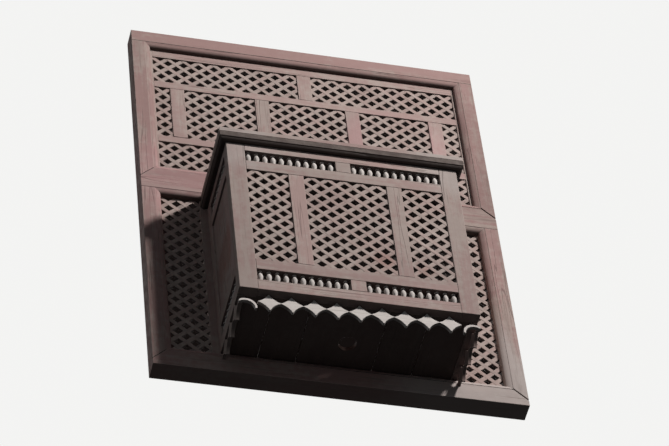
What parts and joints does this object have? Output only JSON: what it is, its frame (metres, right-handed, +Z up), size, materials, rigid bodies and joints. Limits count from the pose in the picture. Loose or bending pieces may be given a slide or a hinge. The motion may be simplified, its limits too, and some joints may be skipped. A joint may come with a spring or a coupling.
{
  "type": "mashrabiya screen",
  "caption": "Fixed wooden facade window: an upper lattice screen over a projecting lattice bay with turned spindles, a roof board and a cut valance, all in one frame.",
  "frame": {"origin": "middle of the sill rail's back face, on the wall plane", "axes": "+X along the wall to the viewer's right, +Y into the wall, +Z up"},
  "size_m": [1.488, 0.436, 2.083],
  "materials": {
    "frame_wood": "weathered matt paint",
    "screen_wood": "weathered matt paint",
    "lattice_wood": "weathered matt paint",
    "pale_wood": "weathered matt paint",
    "roof_wood": "weathered matt paint",
    "floor_wood": "weathered matt paint"
  },
  "bodies": {
    "root": {"frame_head": "frame_wood", "frame_mid_rail": "frame_wood", "frame_sill_rail": "frame_wood", "upper_stile_left": "frame_wood", "upper_stile_right": "frame_wood", "lower_stile_left": "frame_wood", "lower_stile_right": "frame_wood", "screen_top_rail": "screen_wood", "screen_upper_rail": "screen_wood", "screen_lower_rail": "screen_wood", "screen_bottom_rail": "screen_wood", "screen_stiles": "screen_wood", "screen_muntins": "screen_wood", "lattice_top_band": "lattice_wood", "lattice_middle_row": "lattice_wood", "lattice_bottom_band": "lattice_wood", "ledger_rail": "screen_wood", "inner_stile_left": "screen_wood", "inner_stile_right": "screen_wood", "strip_lattice_left": "lattice_wood", "strip_lattice_right": "lattice_wood", "bay_post_left": "screen_wood", "bay_post_right": "screen_wood", "bay_back_post_left": "screen_wood", "bay_back_post_right": "screen_wood", "bay_bottom_rail": "screen_wood", "bay_lower_rail": "screen_wood", "bay_upper_rail": "screen_wood", "bay_top_rail": "screen_wood", "bay_muntins": "screen_wood", "bay_lattice_left": "lattice_wood", "bay_lattice_centre": "lattice_wood", "bay_lattice_right": "lattice_wood", "side_rails_left": "screen_wood", "side_rails_right": "screen_wood", "side_panel_left": "screen_wood", "side_panel_right": "screen_wood", "spindles_bottom": "pale_wood", "spindles_top": "pale_wood", "roof_board": "roof_wood", "roof_moulding": "screen_wood", "floor_boards": "floor_wood", "valance_front": "pale_wood", "valance_left": "screen_wood", "valance_right": "screen_wood"}
  },
  "joints": []
}
